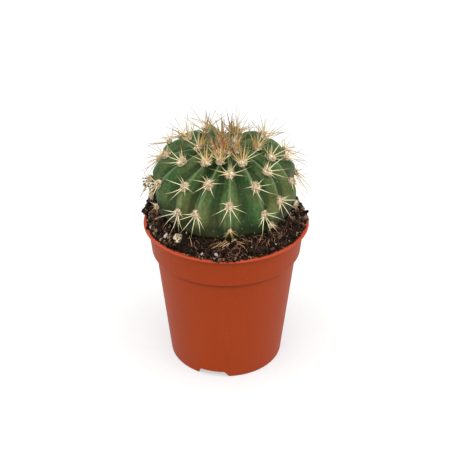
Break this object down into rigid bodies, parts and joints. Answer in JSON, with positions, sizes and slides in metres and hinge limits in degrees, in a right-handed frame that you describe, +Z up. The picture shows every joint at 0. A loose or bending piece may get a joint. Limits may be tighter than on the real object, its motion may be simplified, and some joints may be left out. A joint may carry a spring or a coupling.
{
  "type": "potted cactus",
  "caption": "Small ribbed globe cactus with straw-coloured spines in wool cushions, in banked peat in a tapered terracotta-orange plastic nursery pot.",
  "frame": {"origin": "centre of the pot's foot, on the plane it stands on", "axes": "+Z up along the pot's axis; -Y is the front, towards which the plant leans a little; +X is to the right seen from the front"},
  "size_m": [0.0577, 0.0587, 0.0885],
  "materials": {
    "pot_plastic": "satin",
    "peat": "matte",
    "stem_skin": "satin",
    "spines_wool": "matte",
    "crown_spines": "matte"
  },
  "bodies": {
    "root": {"pot": "pot_plastic", "soil": "peat", "stem": "stem_skin", "crown": "crown_spines", "areole_01_1": "spines_wool", "areole_01_2": "spines_wool", "areole_01_3": "spines_wool", "areole_02_1": "spines_wool", "areole_02_2": "spines_wool", "areole_02_3": "spines_wool", "areole_03_1": "spines_wool", "areole_03_2": "spines_wool", "areole_03_3": "spines_wool", "areole_04_1": "spines_wool", "areole_04_2": "spines_wool", "areole_04_3": "spines_wool", "areole_05_1": "spines_wool", "areole_05_2": "spines_wool", "areole_05_3": "spines_wool", "areole_06_1": "spines_wool", "areole_06_2": "spines_wool", "areole_06_3": "spines_wool", "areole_07_1": "spines_wool", "areole_07_2": "spines_wool", "areole_07_3": "spines_wool", "areole_08_1": "spines_wool", "areole_08_2": "spines_wool", "areole_08_3": "spines_wool", "areole_09_1": "spines_wool", "areole_09_2": "spines_wool", "areole_09_3": "spines_wool", "areole_10_1": "spines_wool", "areole_10_2": "spines_wool", "areole_10_3": "spines_wool", "areole_11_1": "spines_wool", "areole_11_2": "spines_wool", "areole_11_3": "spines_wool", "areole_12_1": "spines_wool", "areole_12_2": "spines_wool", "areole_12_3": "spines_wool", "areole_13_1": "spines_wool", "areole_13_2": "spines_wool", "areole_13_3": "spines_wool", "areole_14_1": "spines_wool", "areole_14_2": "spines_wool", "areole_14_3": "spines_wool", "areole_15_1": "spines_wool", "areole_15_2": "spines_wool", "areole_15_3": "spines_wool"}
  },
  "joints": []
}
